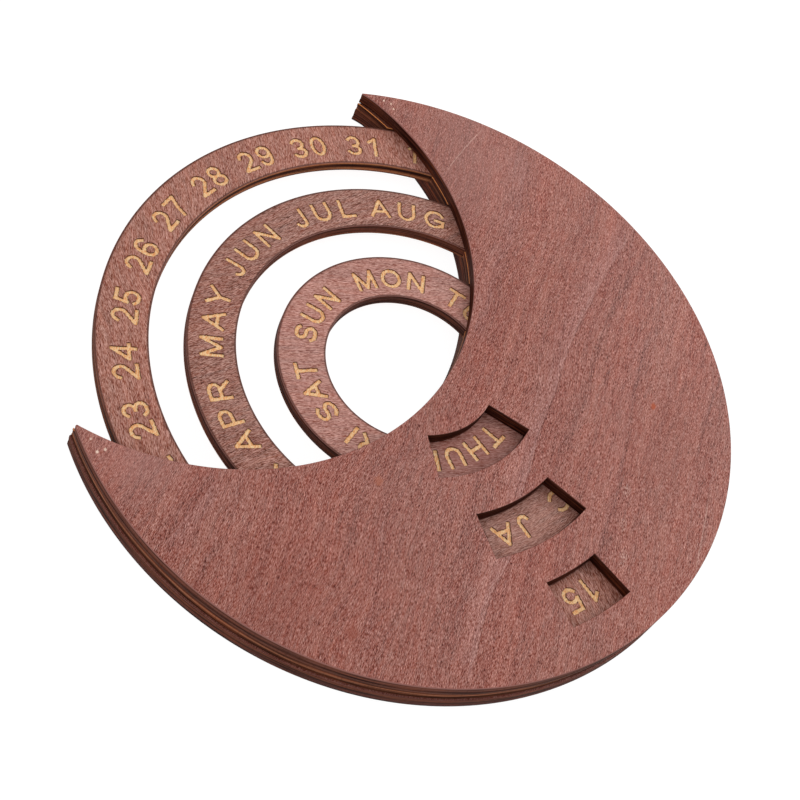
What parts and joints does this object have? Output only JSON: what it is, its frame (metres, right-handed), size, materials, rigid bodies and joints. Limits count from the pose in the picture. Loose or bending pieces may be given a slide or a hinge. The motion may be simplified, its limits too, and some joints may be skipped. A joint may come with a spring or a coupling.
{
  "type": "perpetual desk calendar",
  "caption": "Flat plywood desk calendar: a crescent holder with windows, and nested rings of dates, months and weekdays that turn inside it.",
  "frame": {"origin": "on the back face, below the middle of the whole outline, which runs from the plate's top to the date ring's bottom; the ring axis is 3.8 mm towards -Y of it", "axes": "+Z out of the lettered face, +Y from the ring axis to the crescent's thick side, +X to the right when the face is looked at with +Y up"},
  "size_m": [0.15, 0.1424, 0.009],
  "materials": {
    "plate_ply": "reddish brown stain, matt",
    "spacer_ply": "burnt laser-cut edge",
    "ring_ply": "reddish brown stain, matt, engraved"
  },
  "bodies": {
    "holder": {"back_plate": "plate_ply", "rim_spacer": "spacer_ply", "date_month_spacer": "spacer_ply", "month_weekday_spacer": "spacer_ply", "hub_spacer": "spacer_ply", "front_plate": "plate_ply"},
    "date_dial": {"date_ring": "ring_ply"},
    "month_dial": {"month_ring": "ring_ply"},
    "weekday_dial": {"weekday_ring": "ring_ply"}
  },
  "joints": [
    {"name": "date_turn", "type": "hinge", "parent": "holder", "child": "date_dial", "pos_m": [0, -0.0038, 0.0045], "axis": [0, 0, 1], "continuous": true},
    {"name": "month_turn", "type": "hinge", "parent": "holder", "child": "month_dial", "pos_m": [0, -0.0038, 0.0045], "axis": [0, 0, 1], "continuous": true},
    {"name": "weekday_turn", "type": "hinge", "parent": "holder", "child": "weekday_dial", "pos_m": [0, -0.0038, 0.0045], "axis": [0, 0, 1], "continuous": true}
  ]
}
